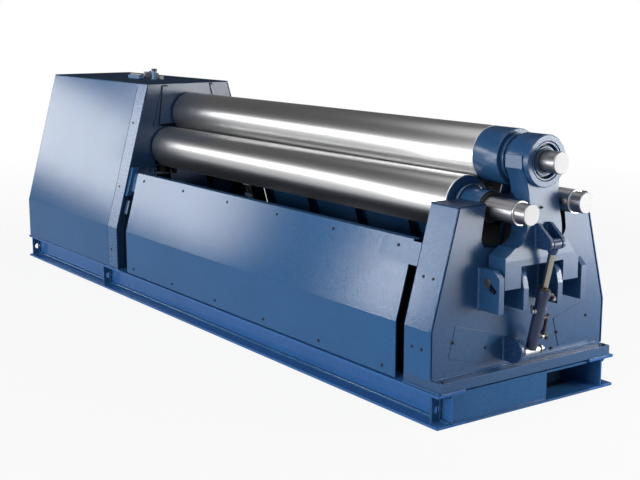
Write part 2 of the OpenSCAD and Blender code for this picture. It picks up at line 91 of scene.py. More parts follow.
def shows_background(tree, in_gloss=1.0):
    """1 for camera and transmission rays, which see the white surround, and this much for glossy ones."""
    path = add(tree, "LightPath")
    gloss = add(tree, "Math", {0: path.outputs["Is Glossy Ray"], 1: in_gloss}, operation="MULTIPLY")
    either = add(tree, "Math", {0: path.outputs["Is Camera Ray"], 1: gloss.outputs[0]}, operation="MAXIMUM")
    return add(tree, "Math", {0: either.outputs[0], 1: path.outputs["Is Transmission Ray"]},
               operation="MAXIMUM").outputs[0]


world = bpy.data.worlds.new("surround")
scene.world = world
tree = new_tree(world)
light_level = add(tree, "Background", {"Color": linear("#eef2f8"), "Strength": 0.15})
white = add(tree, "Background", {"Color": (1, 1, 1, 1), "Strength": 1.0})
mix = add(tree, "MixShader", {0: shows_background(tree), 1: light_level.outputs[0], 2: white.outputs[0]})
add(tree, "OutputWorld", {"Surface": mix.outputs[0]})


def plate(name, corners, faces=None):
    """A stage card through its corners: one flat face, or the faces given."""
    mesh = bpy.data.meshes.new(name)
    mesh.from_pydata(corners, [], faces or [tuple(range(len(corners)))])
    card = bpy.data.objects.new(name, mesh)
    scene.collection.objects.link(card)
    return card


floor_half = 60
floor = plate("floor", [(x * floor_half, y * floor_half, 0) for x, y in ((-1, -1), (1, -1), (1, 1), (-1, 1))])
floor_paint = bpy.data.materials.new("pale_studio_floor")
tree = new_tree(floor_paint)
matt = add(tree, "BsdfDiffuse", {"Color": linear("#e9ebee")})
glow = add(tree, "Emission", {"Color": (1, 1, 1, 1), "Strength": 1.0})
# The glow leaves out the strip under the machine, and grows with distance to hide the horizon.
under_x, under_y = 2.5, 0.59
glow_near, glow_far = 3.0, 9.0
spot = add(tree, "TexCoord").outputs["Object"]
axes = add(tree, "SeparateXYZ", {0: spot})
off_x = add(tree, "Math", {0: axes.outputs["X"]}, operation="ABSOLUTE")
off_y = add(tree, "Math", {0: axes.outputs["Y"]}, operation="ABSOLUTE")
past_end = add(tree, "Math", {0: off_x.outputs[0], 1: under_x}, operation="GREATER_THAN")
past_rail = add(tree, "Math", {0: off_y.outputs[0], 1: under_y}, operation="GREATER_THAN")
outside = add(tree, "Math", {0: past_end.outputs[0], 1: past_rail.outputs[0]}, operation="MAXIMUM")
reach = add(tree, "VectorMath", {0: spot}, operation="LENGTH")
level = add(tree, "MapRange", {"Value": reach.outputs["Value"], "From Min": glow_near,
                               "From Max": glow_far, "To Min": 0.90, "To Max": 1.0})
seen = add(tree, "Math", {0: shows_background(tree, 0.45), 1: outside.outputs[0]}, operation="MULTIPLY")
share = add(tree, "Math", {0: seen.outputs[0], 1: level.outputs[0]}, operation="MULTIPLY")
mix = add(tree, "MixShader", {0: share.outputs[0], 1: matt.outputs[0], 2: glow.outputs[0]})
add(tree, "OutputMaterial", {"Surface": mix.outputs[0]})
floor.data.materials.append(floor_paint)


def glow_in_reflections(card, strength):
    """Gives a stage card an even glow that only glossy reflections see."""
    cloth = bpy.data.materials.new(card.name + "_cloth")
    tree = new_tree(cloth)
    lit = add(tree, "Emission", {"Color": (1, 1, 1, 1), "Strength": strength})
    add(tree, "OutputMaterial", {"Surface": lit.outputs[0]})
    card.data.materials.append(cloth)
    for way in ("camera", "diffuse", "transmission", "shadow", "volume_scatter"):
        setattr(card, "visible_" + way, False)


# The dark card stands far off past the drive end, from behind the rolls round to the operator's side.
card_reach, card_foot_z, card_top_z = 120, -2.0, 170.0
card_turns = [math.radians(angle) for angle in range(128, 241, 8)]
card_foot = [(card_reach * math.cos(turn), card_reach * math.sin(turn), card_foot_z) for turn in card_turns]
glow_in_reflections(plate("dark_card", card_foot + [(x, y, card_top_z) for x, y, z in card_foot], [
    (i, i + 1, i + 1 + len(card_foot), i + len(card_foot)) for i in range(len(card_foot) - 1)]), 0.085)


def area_lamp(name, wide, tall, energy, point, back):
    """A soft box at a point, with its back to the way given. The camera doesn't see it."""
    lamp = bpy.data.lights.new(name, "AREA")
    lamp.shape = "RECTANGLE"
    lamp.size = wide
    lamp.size_y = tall
    lamp.energy = energy
    box = bpy.data.objects.new(name, lamp)
    scene.collection.objects.link(box)
    box.location = point
    box.rotation_euler = Vector(back).to_track_quat("Z", "Y").to_euler()
    box.visible_camera = False


machine_middle = Vector((0.7, -0.5, 0.7))
far_off, close_by = 100, 12


def soft_box(name, azimuth, elevation, distance, radiance):
    """A soft box that fills these ranges of direction, in degrees, seen from the machine."""
    turn, rise = (math.radians(sum(span) / 2) for span in (azimuth, elevation))
    wide, tall = (2 * distance * math.tan(math.radians(abs(span[1] - span[0])) / 2)
                  for span in (azimuth, elevation))
    out = Vector((math.cos(turn) * math.cos(rise), math.sin(turn) * math.cos(rise), math.sin(rise)))
    area_lamp(name, wide, tall, radiance * math.pi * wide * tall, machine_middle + out * distance, out)


far_left = [((-164, -156.3), 7.0), ((-156.3, -153.0), 8.6), ((-153.0, -150.6), 9.3),
            ((-150.6, -147.8), 12.0)]
for number, (azimuth, radiance) in enumerate(far_left):
    soft_box("box_far_left_%d" % number, azimuth, (4.3, 9.0), far_off, radiance)
soft_box("box_edge_strip", (-155.6, -153.2), (9.6, 13.0), far_off, 7.0)
soft_box("box_left", (-140.6, -137.5), (4.8, 12.0), far_off, 23.0)
soft_box("box_left_high", (-137.5, -131), (9.0, 12.0), far_off, 9.0)
soft_box("box_front_high", (-75, -35), (38, 62), close_by, 2.4)
soft_box("box_front_low", (-125, -68), (1.0, 16.0), close_by, 8.2)
# One stands on the floor past the drop end, low enough to show in its plates. Another behind
# it stands higher, and shows at the top of the drive housing's wall.
area_lamp("box_end", 1.9, 1.15, 64.0, (4.75, 2.25, 0.66), (2.3, 2.25, 0.0))
area_lamp("box_wall", 1.9, 0.9, 110.0, (4.75, 3.75, 1.42), (5.6, 3.6, 0.0))

# Small cards: one for the flat of the arm's boss, one for the sloped tops of the hinge
# lugs, and a long one that fills the highlight of the rolls.
boss_card = [(1.31, -1.04, 0.86), (1.63, -1.36, 0.86), (1.63, -1.36, 1.30), (1.31, -1.04, 1.30)]
lug_card = [(2.70, 1.32, 1.93), (3.26, 1.32, 1.93), (3.26, 0.88, 2.35), (2.70, 0.88, 2.35)]
roll_card = [(-4.25, -2.0, 1.34), (0.05, -2.0, 1.34), (0.05, -2.0, 1.92), (-4.25, -2.0, 1.92)]
glow_in_reflections(plate("boss_card", boss_card), 5.5)
glow_in_reflections(plate("lug_card", lug_card), 5.0)
glow_in_reflections(plate("roll_card", roll_card), 3.4)

scene.view_settings.view_transform = "Standard"


# ---- Painted steelwork ----
# Welded and folded sheet steel under a satin machine enamel sprayed in one coat.
# The spray leaves a fine orange peel that breaks up every soft reflection.
def enamel(name, colour, roughness=0.08, ior=1.25, painted_shade_jambs=False):
    """One coat of enamel. With the jamb flag set, the inner sides of the roll window are painted near black
    and fully rough: painted shade for the dark inside the window.
    """
    paint = bpy.data.materials.new(name)
    tree = new_tree(paint)
    place = add(tree, "TexCoord").outputs["Object"]
    # Orange peel cells of about 12 mm, drawn coarser than the real 1 to 2 mm.
    peel = add(tree, "TexNoise", {"Vector": place, "Scale": 85.0, "Detail": 2.0, "Roughness": 0.6})
    # Clouds 400 mm across where the passes of the spray overlap.
    cloud = add(tree, "TexNoise", {"Vector": place, "Scale": 2.4, "Detail": 3.0})
    base = linear(colour)
    deep = tuple(c * 0.94 for c in base[:3]) + (1,)
    light = tuple(min(1, c * 1.05) for c in base[:3]) + (1,)
    tone = add(tree, "ValToRGB", {"Fac": cloud.outputs["Fac"]})
    tone.color_ramp.elements[0].position, tone.color_ramp.elements[0].color = 0.32, deep
    tone.color_ramp.elements[1].position, tone.color_ramp.elements[1].color = 0.68, light
    speck = add(tree, "ValToRGB", {"Fac": peel.outputs["Fac"]})
    speck.color_ramp.elements[0].position, speck.color_ramp.elements[0].color = 0.30, (0.9, 0.9, 0.9, 1)
    speck.color_ramp.elements[1].position, speck.color_ramp.elements[1].color = 0.70, (1.1, 1.1, 1.1, 1)
    grain = add(tree, "Mix", {6: tone.outputs[0], 7: speck.outputs[0], 0: 1.0},
                data_type="RGBA", blend_type="MULTIPLY")
    gloss = add(tree, "MapRange", {"Value": peel.outputs["Fac"], "From Min": 0.3, "From Max": 0.7,
                                   "To Min": roughness, "To Max": roughness + 0.05})
    bump = add(tree, "Bump", {"Height": peel.outputs["Fac"], "Strength": 1.0, "Distance": 0.0003})
    colour_out, gloss_out = grain.outputs[2], gloss.outputs[0]
    if painted_shade_jambs:
        # Painted shade: the window's inner sides, facing sideways above its foot, turn near black and lose
        # their gloss.
        window_half, window_foot = 0.33, 0.78
        axes = add(tree, "SeparateXYZ", {0: place})
        look = add(tree, "SeparateXYZ", {0: add(tree, "NewGeometry").outputs["True Normal"]})
        off_x = add(tree, "Math", {0: look.outputs["X"]}, operation="ABSOLUTE")
        off_y = add(tree, "Math", {0: axes.outputs["Y"]}, operation="ABSOLUTE")
        sideways = add(tree, "Math", {0: off_x.outputs[0], 1: 0.5}, operation="LESS_THAN")
        inner = add(tree, "Math", {0: off_y.outputs[0], 1: window_half}, operation="LESS_THAN")
        high = add(tree, "Math", {0: axes.outputs["Z"], 1: window_foot}, operation="GREATER_THAN")
        shaded_jamb = add(tree, "Math", {0: sideways.outputs[0], 1: inner.outputs[0]}, operation="MULTIPLY")
        shaded_jamb = add(tree, "Math", {0: shaded_jamb.outputs[0], 1: high.outputs[0]}, operation="MULTIPLY")
        colour_out = add(tree, "Mix", {0: shaded_jamb.outputs[0], 6: colour_out, 7: linear("#04070c")},
                         data_type="RGBA").outputs[2]
        gloss_out = add(tree, "Math", {0: gloss_out, 1: shaded_jamb.outputs[0]},
                        operation="MAXIMUM").outputs[0]
    shader = add(tree, "BsdfPrincipled", {
        "Base Color": colour_out, "Roughness": gloss_out, "IOR": ior, "Normal": bump.outputs[0]})
    add(tree, "OutputMaterial", {"Surface": shader.outputs[0]})
    return paint


blue = enamel("blue_satin_enamel", "#2b5784")
frame_blue = enamel("blue_brushed_on_enamel", "#274c74", 0.22, 1.44)
# The plates of the drop end and the drive housing's wall carry the painted shade in their roll windows.
window_blue = enamel("blue_enamel_window_painted_shade", "#274c74", 0.22, 1.44, True)
# The drive housing's wall is a darker copy of the frame's blue: painted shade for the shadow inside the
# housing.
shaded_wall_blue = enamel("darker_blue_enamel_painted_shade", "#1c3655", 0.22, 1.44, True)
# The base rails are a lighter blue: painted light, for the light that the floor throws up into their webs
# under the flanges.
lit_rail_blue = enamel("lighter_blue_enamel_painted_light", "#32619a", 0.12, 1.25)
strip_blue = enamel("thick_blue_enamel", "#2b5784", 0.24, 1.5)
# The top caps of the drop end are a darker blue: painted shade, as no light falls on their tops from above.
shaded_cap_blue = enamel("navy_cap_enamel_painted_shade", "#1b3354", 0.3, 1.15)
# A darker copy of the blue, painted shade, for small parts that sit in shadow: the clevis and the rod's eye
# between its cheeks, the cylinder's foot, the panel latches, and the frame and edging at the wall's openings.
shade_blue = enamel("deep_blue_enamel_painted_shade", "#1d3a60", 0.24, 1.42)
barrel_blue = enamel("dark_slate_enamel", "#222f4c", 0.3, 1.45)
# A much darker copy of the blue: painted shade for the roof of the drive housing, which gets no light from
# above, and for the panel posts, cross members and gear casing that sit in shadow.
shade_navy = enamel("dark_blue_enamel_painted_shade", "#14283f", 0.5, 1.15)
# Near black: painted shade on the bearing blocks, which show only through the dark roll windows, on the pin
# keepers and on the gap fillers beside the panels.
shade_black = enamel("black_paint_painted_shade", "#080e18", 0.5, 1.12)


def finish_node(name, material):
    """Gives a node of the frame this one finish."""
    obj = nodes[name]
    obj.data.materials.clear()
    obj.data.materials.append(material)


def ease_edges(obj, width):
    """Breaks the sharp edges of a node: its facets are joined first, so the edges run clean."""
    weld = obj.modifiers.new("weld", "WELD")
    weld.merge_threshold = 0.00002
    flat = obj.modifiers.new("flat", "DECIMATE")
    flat.decimate_type = "DISSOLVE"
    flat.angle_limit = math.radians(0.4)
    ease = obj.modifiers.new("ease", "BEVEL")
    ease.width = width
    ease.segments = 2
    ease.limit_method = "ANGLE"
    ease.angle_limit = math.radians(24)
    ease.harden_normals = True


edge_break = 0.0015
for name in nodes:
    finish_node(name, blue)
    ease_edges(nodes[name], edge_break)
finish_node("drive_frame", shaded_wall_blue)
for name in ("drop_end_plate", "drop_frame"):
    finish_node(name, window_blue)
for name in ("base_front_rail", "base_rear_rail"):
    finish_node(name, lit_rail_blue)
for name in ("drive_front_strip", "drive_rear_strip"):
    finish_node(name, strip_blue)
finish_node("drop_top_caps", shaded_cap_blue)
for name in ("drop_hatch_covers", "hinge_lugs", "drop_arm",
             "arm_boss", "top_roll_collar", "top_roll_end_bearing", "drop_end_foot"):
    finish_node(name, frame_blue)
for name in ("arm_clevis", "arm_clevis_pin", "cylinder_foot"):
    finish_node(name, shade_blue)
finish_node("cylinder_barrel", barrel_blue)
for name in ("drive_top_cover", "front_panel_posts", "rear_panel_posts", "base_cross_members"):
    finish_node(name, shade_navy)
# Painted shade: the blocks are near black, as the windows they show through are dark.
for name in ("front_roll_blocks", "rear_roll_blocks"):
    finish_node(name, shade_black)


# ---- Rolls ----
# Forged steel, turned and ground between centres, which leaves a fine grain
# round the roll that smears each reflection along a thin band.
def ground_steel(name, colour, roughness, journal_x=9.0):
    """Ground steel. Past journal_x, if it reaches that far, it is turned: darker, with dull ends."""
    steel = bpy.data.materials.new(name)
    tree = new_tree(steel)
    place = add(tree, "TexCoord").outputs["Object"]
    stretch = add(tree, "Mapping", {"Vector": place, "Scale": (1.0, 0.01, 0.01)})
    # Grinding marks round the roll, 2 mm apart, drawn coarser than the real ones so that they show.
    marks = add(tree, "TexNoise", {"Vector": stretch.outputs[0], "Scale": 420.0, "Detail": 2.0})
    gloss = add(tree, "MapRange", {"Value": marks.outputs["Fac"], "From Min": 0.3, "From Max": 0.7,
                                   "To Min": roughness - 0.012, "To Max": roughness + 0.012})
    axes = add(tree, "SeparateXYZ", {0: place})
    journal = add(tree, "Math", {0: axes.outputs["X"], 1: journal_x}, operation="GREATER_THAN")
    look = add(tree, "SeparateXYZ", {0: add(tree, "NewGeometry").outputs["Normal"]})
    faced = add(tree, "Math", {0: look.outputs["X"], 1: 0.8}, operation="GREATER_THAN")
    faced = add(tree, "Math", {0: faced.outputs[0], 1: journal.outputs[0]}, operation="MULTIPLY")
    turned = add(tree, "Math", {0: journal.outputs[0], 1: faced.outputs[0]}, operation="SUBTRACT")
    sharp = add(tree, "Math", {0: turned.outputs[0], 1: 0.05}, operation="MULTIPLY")
    dull = add(tree, "Math", {0: faced.outputs[0], 1: 0.55}, operation="MULTIPLY")
    rough = add(tree, "Math", {0: gloss.outputs[0], 1: sharp.outputs[0]}, operation="ADD")
    rough = add(tree, "Math", {0: rough.outputs[0], 1: dull.outputs[0]}, operation="ADD")
    tone = add(tree, "Mix", {0: turned.outputs[0], 6: linear(colour), 7: linear("#8c8c90")},
               data_type="RGBA")
    shader = add(tree, "BsdfPrincipled", {
        "Base Color": tone.outputs[2], "Metallic": 1.0, "Roughness": rough.outputs[0]})
    add(tree, "OutputMaterial", {"Surface": shader.outputs[0]})
    return steel


journal_start = 2.25
roll_steel = ground_steel("ground_roll_steel", "#c6c6c6", 0.30, journal_start)
bright_steel = ground_steel("turned_bright_steel", "#cfcfd0", 0.36)
for name in ("top_roll", "front_side_roll", "rear_side_roll"):
    finish_node(name, roll_steel)
finish_node("cylinder_rod", ground_steel("hard_chromed_rod", "#a19d90", 0.25))


# ---- Screws of the covers, strips and panels ----
# Button head screws with a black oxide finish that hold the folded sheets to the posts
# and frames behind them. Each head stands on the leaning face of its sheet.
def facing(point, way):
    """A frame at this point whose Z looks along way."""
    return Matrix.Translation(point) @ Vector(way).to_track_quat("Z", "Y").to_matrix().to_4x4()


def lathe(bm, profile, place, steps=24):
    """Turns (radius, height) points round Z. A third number 6 makes that ring a hexagon."""
    rings = []
    for radius, height, *sides in profile:
        ring = []
        for step in range(steps if radius else 1):
            turn = 2 * math.pi * step / steps
            reach = radius
            if sides:
                reach = radius / math.cos((turn % (math.pi / 3)) - math.pi / 6)
            spot = Vector((reach * math.cos(turn), reach * math.sin(turn), height))
            ring.append(bm.verts.new(place @ spot))
        rings.append(ring)
    for low_ring, high_ring in zip(rings, rings[1:]):
        for i in range(steps):
            j = (i + 1) % steps
            corners = [low_ring[i % len(low_ring)], low_ring[j % len(low_ring)],
                       high_ring[j % len(high_ring)], high_ring[i % len(high_ring)]]
            corners = [v for k, v in enumerate(corners) if v not in corners[:k]]
            if len(corners) > 2:
                bm.faces.new(corners)


def finish_piece(name, bm, material, body, crease=32):
    """Makes the object of a piece, smooth but for its creases, and sets what it rides on."""
    bmesh.ops.recalc_face_normals(bm, faces=bm.faces)
    mesh = bpy.data.meshes.new(name)
    bm.to_mesh(mesh)
    bm.free()
    for face in mesh.polygons:
        face.use_smooth = True
    mesh.set_sharp_from_angle(angle=math.radians(crease))
    mesh.materials.append(material)
    obj = bpy.data.objects.new(name, mesh)
    scene.collection.objects.link(obj)
    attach(obj, body)
    return obj


def handled_steel(name, colour, roughness):
    """Plated, blackened or greased steel, dull between its fine handling marks."""
    metal = bpy.data.materials.new(name)
    tree = new_tree(metal)
    place = add(tree, "TexCoord").outputs["Object"]
    # The marks are 3 mm apart, drawn coarser than the real ones so that they show.
    marks = add(tree, "TexNoise", {"Vector": place, "Scale": 330.0, "Detail": 4.0, "Roughness": 0.7})
    base = linear(colour)
    tone = add(tree, "ValToRGB", {"Fac": marks.outputs["Fac"]})
    tone.color_ramp.elements[0].position, tone.color_ramp.elements[1].position = 0.35, 0.65
    tone.color_ramp.elements[0].color = tuple(c * 0.7 for c in base[:3]) + (1,)
    tone.color_ramp.elements[1].color = base
    gloss = add(tree, "MapRange", {"Value": marks.outputs["Fac"], "From Min": 0.3, "From Max": 0.7,
                                   "To Min": roughness + 0.08, "To Max": roughness - 0.05})
    bump = add(tree, "Bump", {"Height": marks.outputs["Fac"], "Strength": 0.4, "Distance": 0.0002})
    shader = add(tree, "BsdfPrincipled", {
        "Base Color": tone.outputs[0], "Metallic": 1.0, "Roughness": gloss.outputs[0],
        "Normal": bump.outputs[0]})
    add(tree, "OutputMaterial", {"Surface": shader.outputs[0]})
    return metal


zinc = handled_steel("zinc_plated_steel", "#b4b6b6", 0.34)
black_oxide = handled_steel("black_oxide_steel", "#34363c", 0.45)
finish_node("hinge_pins", handled_steel("greased_pin_steel", "#6a6c72", 0.4))

half_low = -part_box("drive_front_cover")[0].y
fold_z = 0.461
side_lean = 0.2745
lean = math.atan(side_lean)


def side_reach(z):
    """How far the outer face of the housing sheets stands from the middle at this height."""
    return half_low - max(0.0, z - fold_z) * side_lean


def on_side(x, z, side):
    """A frame on the outer face of the housing sheets, side -1 being the operator's."""
    rise = math.sin(lean) if z > fold_z else 0.0
    return facing((x, side * side_reach(z), z), (0.0, side * math.cos(lean), rise))


def button_screw(bm, place, head_r):
    """The head of a button screw, a low dome with a hexagon socket, scaled in radius only."""
    drawn_r = 0.0105
    k = head_r / drawn_r
    lathe(bm, [(head_r, 0.0), (head_r, 0.0012), (0.0092 * k, 0.0036), (0.0068 * k, 0.0052),
               (0.0045 * k, 0.0057), (0.0034 * k, 0.0055, 6), (0.0034 * k, 0.0022, 6), (0, 0.0018)], place)


panel_head, cover_head = 0.0085, 0.0075
cover_seam_x, strip_xs = -1.002, (2.316, 2.387)
posts_low, posts_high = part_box("front_panel_posts")
post_half = 0.020
post_pitch = (posts_high.x - posts_low.x - 2 * post_half) / 5
bm = bmesh.new()
for side in (-1, 1):
    for i in range(6):
        for z in (0.815, 0.215):
            button_screw(bm, on_side(posts_low.x + post_half + i * post_pitch, z, side), panel_head)
    for z in (0.30, 0.74, 1.182):
        button_screw(bm, on_side(cover_seam_x, z, side), cover_head)
    for x in strip_xs:
        for z in (0.366, 0.70):
            button_screw(bm, on_side(x, z, side), cover_head)
finish_piece("cover_screws", bm, black_oxide, "machine_frame")

# Screws of the two hatch covers, which stand 3 mm off the end plate.
end_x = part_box("drop_end_plate")[1].x
hatch_thick = 0.003
bm = bmesh.new()
for side in (-1, 1):
    for y, z in ((0.460, 0.391), (0.248, 0.333)):
        button_screw(bm, facing((end_x + hatch_thick, side * y, z), (1, 0, 0)), cover_head)
finish_piece("hatch_screws", bm, black_oxide, "machine_frame")


# ---- Welds ----
# Fillet welds laid by hand in short steps, painted over with the steelwork. The
# rolled beams have a smooth root radius between web and flange.
def skin(bm, rings):
    """Skins a run of rings that have the same count of corners, and closes its two ends."""
    for near, far in zip(rings, rings[1:]):
        for i in range(len(near)):
            j = (i + 1) % len(near)
            bm.faces.new((near[i], near[j], far[j], far[i]))
    bm.faces.new(rings[0])
    bm.faces.new(rings[-1])


def corner_strip(bm, start, end, u, v, size, section, ripple=0.0):
    """A strip in the corner between two faces, which leave the line start-end along u and v.
    With ripple, it swells and sinks in steps of that length."""
    start, end, u, v = (Vector(part) for part in (start, end, u, v))
    length = (end - start).length
    count = max(1, round(length / ripple * 4)) if ripple else 1
    rings = []
    for i in range(count + 1):
        place = start.lerp(end, i / count)
        swell = 1 + 0.10 * math.sin(math.pi * i / 2) + 0.05 * math.sin(i * 0.37) if ripple else 1
        rings.append([bm.verts.new(place + (u * a + v * b) * size * swell) for a, b in section])
    skin(bm, rings)


bead = [(-0.02, -0.02), (1.0, -0.02), (0.86, 0.42), (0.66, 0.66), (0.42, 0.86), (-0.02, 1.0)]
root = [(-0.02, -0.02), (1.0, -0.02)] + [
    (1 - math.sin(turn), 1 - math.cos(turn)) for turn in (0.31, 0.63, 0.94, 1.26)] + [(-0.02, 1.0)]
base_low, base_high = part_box("base_front_rail")
foot_low, foot_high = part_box("drop_end_foot")
web_out, web_in = 0.535, 0.525
flange = 0.014
beam_top = base_high.z
root_radius = 0.013

bm = bmesh.new()
for side in (-1, 1):
    for y, out in ((web_out, side), (web_in, -side)):
        for z, up in ((flange, 1), (beam_top - flange, -1)):
            corner_strip(bm, (base_low.x, side * y, z), (base_high.x, side * y, z),
                         (0, out, 0), (0, 0, up), root_radius, root)
finish_piece("beam_root_fillets", bm, blue, "machine_frame")


def weld(bm, start, end, u, v, leg=0.006):
    """A hand laid fillet weld, whose ripples are 9 mm long, coarser than real ones."""
    corner_strip(bm, start, end, u, v, leg, bead, 0.009)


stiffener = 0.012
lug_foot, lug_leg = 0.531, 0.008
bm = bmesh.new()
for side in (-1, 1):
    # Stiffeners with the lifting holes, in the rails' outer channels.
    for x in (-2.521, -1.180, 2.443):
        for face, out in ((x, -1), (x + stiffener, 1)):
            weld(bm, (face, side * web_out, 0.026), (face, side * web_out, 0.144), (out, 0, 0), (0, side, 0))
            weld(bm, (face, side * 0.548, flange), (face, side * 0.584, flange), (out, 0, 0), (0, 0, 1))
    # Hinge lugs on the end plate.
    for y0, y1, top in ((0.100, 0.134, 0.739), (0.264, 0.298, 0.740)):
        for y, out in ((y0, -1), (y1, 1)):
            weld(bm, (end_x, side * y, lug_foot + 0.002), (end_x, side * y, top),
                 (1, 0, 0), (0, side * out, 0), lug_leg)
        weld(bm, (end_x, side * y0, lug_foot), (end_x, side * y1, lug_foot), (1, 0, 0), (0, 0, -1), lug_leg)
    # Sides and front of the foot plate.
    weld(bm, (foot_low.x, side * foot_high.y, beam_top), (foot_high.x, side * foot_high.y, beam_top),
         (0, side, 0), (0, 0, 1), 0.007)
    low_y, high_y = sorted((side * 0.430, side * 0.585))
    weld(bm, (foot_high.x, low_y, beam_top), (foot_high.x, high_y, beam_top), (1, 0, 0), (0, 0, 1))
# One cheek of the cylinder's foot, and the end plate along the foot plate.
for y, out in ((-0.122, -1), (-0.100, 1)):
    weld(bm, (end_x, y, 0.247), (end_x, y, 0.369), (1, 0, 0), (0, out, 0))
weld(bm, (end_x, -0.580, foot_high.z), (end_x, 0.580, foot_high.z), (1, 0, 0), (0, 0, 1))
finish_piece("frame_welds", bm, blue, "machine_frame", crease=60)

arm_x, arm_knee_z, arm_slope = 2.580, 0.780, 31 / 464


def arm_face(z):
    """X of the arm's outer face, which leans back above its legs."""
    return arm_x - max(0.0, z - arm_knee_z) * arm_slope


bm = bmesh.new()
for side in (-1, 1):
    for y, out in ((0.031, -1), (0.049, 1)):
        weld(bm, (arm_face(0.828), side * y, 0.828), (arm_face(0.942), side * y, 0.942),
             (1, 0, 0), (0, side * out, 0))
finish_piece("clevis_welds", bm, blue, "tilting_arm", crease=60)


# ---- Side roll ends ----
# Each side roll runs out through a painted seal housing on its bearing block. The
# roll's end face is painted, and a bright turned collar locks the shaft.
def along(y, z):
    """A frame on a roll axis whose Z is the machine's X."""
    return Matrix.Translation((0.0, y, z)) @ Matrix.Rotation(math.pi / 2, 4, "Y")


def turned_piece(name, profile, place, material, body, steps=96):
    """A piece of its own with one turned profile."""
    bm = bmesh.new()
    lathe(bm, profile, place, steps)
    return finish_piece(name, bm, material, body)


def rubber(name):
    """Moulded nitrile rubber, black with a dull haze."""
    black = bpy.data.materials.new(name)
    tree = new_tree(black)
    place = add(tree, "TexCoord").outputs["Object"]
    # Moulding haze in patches of 15 mm.
    haze = add(tree, "TexNoise", {"Vector": place, "Scale": 65.0, "Detail": 4.0})
    tone = add(tree, "ValToRGB", {"Fac": haze.outputs["Fac"]})
    tone.color_ramp.elements[0].color = linear("#0b0c0e")
    tone.color_ramp.elements[1].color = linear("#1c1d20")
    gloss = add(tree, "MapRange", {"Value": haze.outputs["Fac"], "To Min": 0.42, "To Max": 0.6})
    shader = add(tree, "BsdfPrincipled", {
        "Base Color": tone.outputs[0], "Roughness": gloss.outputs[0], "IOR": 1.5})
    add(tree, "OutputMaterial", {"Surface": shader.outputs[0]})
    return black


seal_rubber = rubber("moulded_nitrile_rubber")
shaft_yz = {}
for which in ("front", "rear"):
    box_low, box_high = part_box(which + "_side_roll")
    shaft_yz[which] = ((box_low.y + box_high.y) / 2, (box_low.z + box_high.z) / 2)
    axis = along(*shaft_yz[which])
    roll, carrier = which + "_roll", which + "_roll_carrier"
    turned_piece(which + "_roll_end_paint", [
        (0.064, 2.2145), (0.064, 2.2190), (0.1375, 2.2190), (0.1390, 2.2175), (0.1390, 2.2145)],
        axis, frame_blue, roll)
    turned_piece(which + "_seal_housing", [
        (0.0635, 2.2310), (0.0960, 2.2310), (0.0980, 2.2330), (0.0980, 2.2490), (0.0970, 2.2500),
        (0.0830, 2.2500), (0.0815, 2.2515), (0.0815, 2.2585), (0.0635, 2.2585), (0.0635, 2.2310)],
        axis, frame_blue, carrier)
    turned_piece(which + "_seal_clamp_ring", [
        (0.0981, 2.2440), (0.0996, 2.2444), (0.1000, 2.2460), (0.0996, 2.2476), (0.0981, 2.2480)],
        axis, zinc, carrier)
    turned_piece(which + "_shaft_seal", [
        (0.0576, 2.3870), (0.0760, 2.3870), (0.0760, 2.3925), (0.0740, 2.3945), (0.0650, 2.3945),
        (0.0600, 2.3920), (0.0576, 2.3930), (0.0576, 2.3870)],
        axis, seal_rubber, carrier)
    turned_piece(which + "_shaft_collar", [
        (0.0568, 2.5905), (0.0588, 2.5905), (0.0600, 2.5917), (0.0600, 2.5968), (0.0588, 2.5980),
        (0.0525, 2.5980), (0.0525, 2.5990), (0.0518, 2.5990)],
        axis, bright_steel, roll)
    turned_piece(which + "_collar_oring", [
        (0.0569, 2.5860), (0.0574, 2.5862), (0.0574, 2.5902), (0.0569, 2.5904)],
        axis, seal_rubber, roll)


# ---- Top roll's end ----
# A rubber wiper on the shaft and a dark shield on the outboard bearing, and a rubber
# ring in the groove of the arm's boss.
roll_z = 1.244
axis = along(0.0, roll_z)
turned_piece("top_shaft_wiper", [
    (0.0545, 2.5700), (0.0625, 2.5795), (0.0610, 2.5812), (0.0560, 2.5815), (0.0543, 2.5800)],
    axis, seal_rubber, "upper_roll")
turned_piece("end_bearing_shield", [
    (0.0722, 2.5560), (0.0790, 2.5560), (0.0797, 2.5568), (0.0797, 2.5610), (0.0790, 2.5618),
    (0.0722, 2.5618)],
    axis, seal_rubber, "upper_roll")
turned_piece("boss_groove_seal", [
    (0.0942, 2.5722), (0.0978, 2.5722), (0.0978, 2.5745), (0.0942, 2.5745), (0.0942, 2.5722)],
    axis, seal_rubber, "tilting_arm")


# ---- Hinge pin keepers ----
# Flat keepers let into a slot in each hinge pin and held to the outer lug by two
# hexagon bolts, so that the pin neither turns nor walks out.
def hex_bolt(bm, place, half_across):
    """Head of a hexagon bolt on its washer, sized by half its width across flats."""
    drawn_half, washer, seat, head = 0.013, 0.0022, 0.0020, 0.0090
    k = half_across / drawn_half
    lathe(bm, [(0.015 * k, 0.0), (0.015 * k, washer), (0.0, washer)], place)
    lathe(bm, [(half_across, seat, 6), (half_across, seat + 0.0075 * k, 6),
               (0.0122 * k, seat + head * k), (0.0, seat + head * k)], place)


lug_side, keeper_thick = 0.2982, 0.0065
keeper = [(2.527, 0.660), (2.531, 0.641), (2.563, 0.627), (2.573, 0.645), (2.541, 0.668)]
bm, bolts = bmesh.new(), bmesh.new()
for side in (-1, 1):
    inner_y, outer_y = side * lug_side, side * (lug_side + keeper_thick)
    skin(bm, [[bm.verts.new((x, y, z)) for x, z in keeper] for y in (inner_y, outer_y)])
    for x, z in ((2.560, 0.641), (2.540, 0.652)):
        hex_bolt(bolts, facing((x, outer_y, z), (0, side, 0)), 0.0065)
bmesh.ops.bevel(bm, geom=bm.edges[:], offset=0.0008, segments=1, affect="EDGES")
